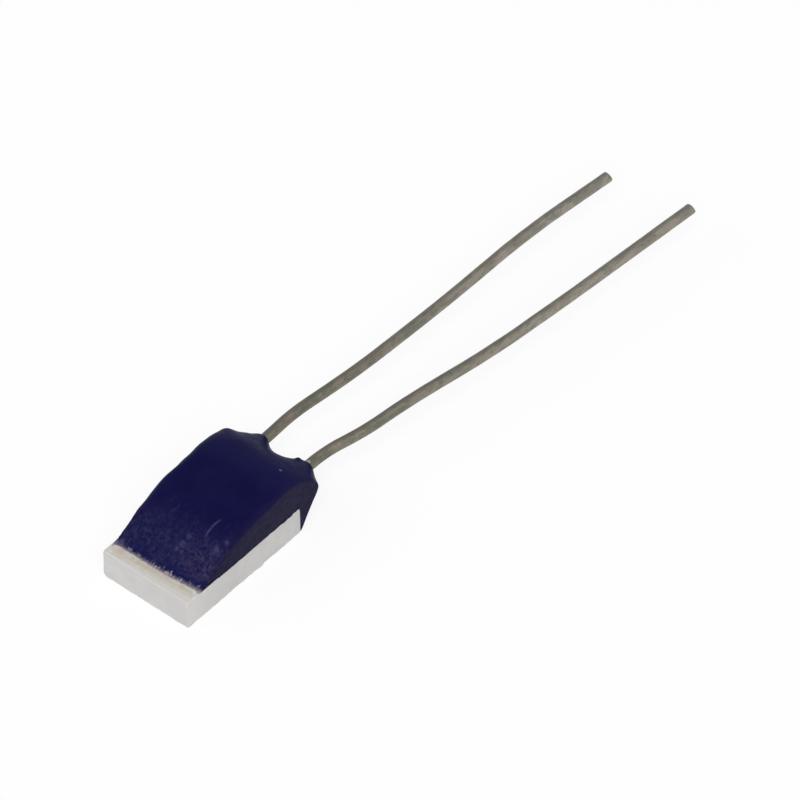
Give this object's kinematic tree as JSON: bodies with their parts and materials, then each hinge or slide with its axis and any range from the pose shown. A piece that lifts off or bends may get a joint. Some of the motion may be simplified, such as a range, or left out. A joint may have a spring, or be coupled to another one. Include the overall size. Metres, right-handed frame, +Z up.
{
  "type": "platinum resistance temperature sensor",
  "caption": "Thin-film temperature sensor: white ceramic chip under a dark blue glaze bead, with bare round wire leads leaving one end.",
  "frame": {"origin": "centre of the ceramic chip's underside, the face that is bedded on the measured surface", "axes": "+X along the chip towards the leads, +Y towards the left lead, +Z up through the glaze"},
  "size_m": [0.0129, 0.0027, 0.0014],
  "materials": {
    "alumina": "matte",
    "platinum": "satin",
    "pad_metal": "satin",
    "printed_glass": "satin",
    "lead_wire": "satin",
    "blue_glaze": "satin"
  },
  "bodies": {
    "root": {"ceramic_substrate": "alumina", "platinum_film": "platinum", "contact_pad_left": "pad_metal", "contact_pad_right": "pad_metal", "passivation_glass": "printed_glass", "lead_left": "lead_wire", "lead_right": "lead_wire", "fixing_glaze": "blue_glaze"}
  },
  "joints": []
}
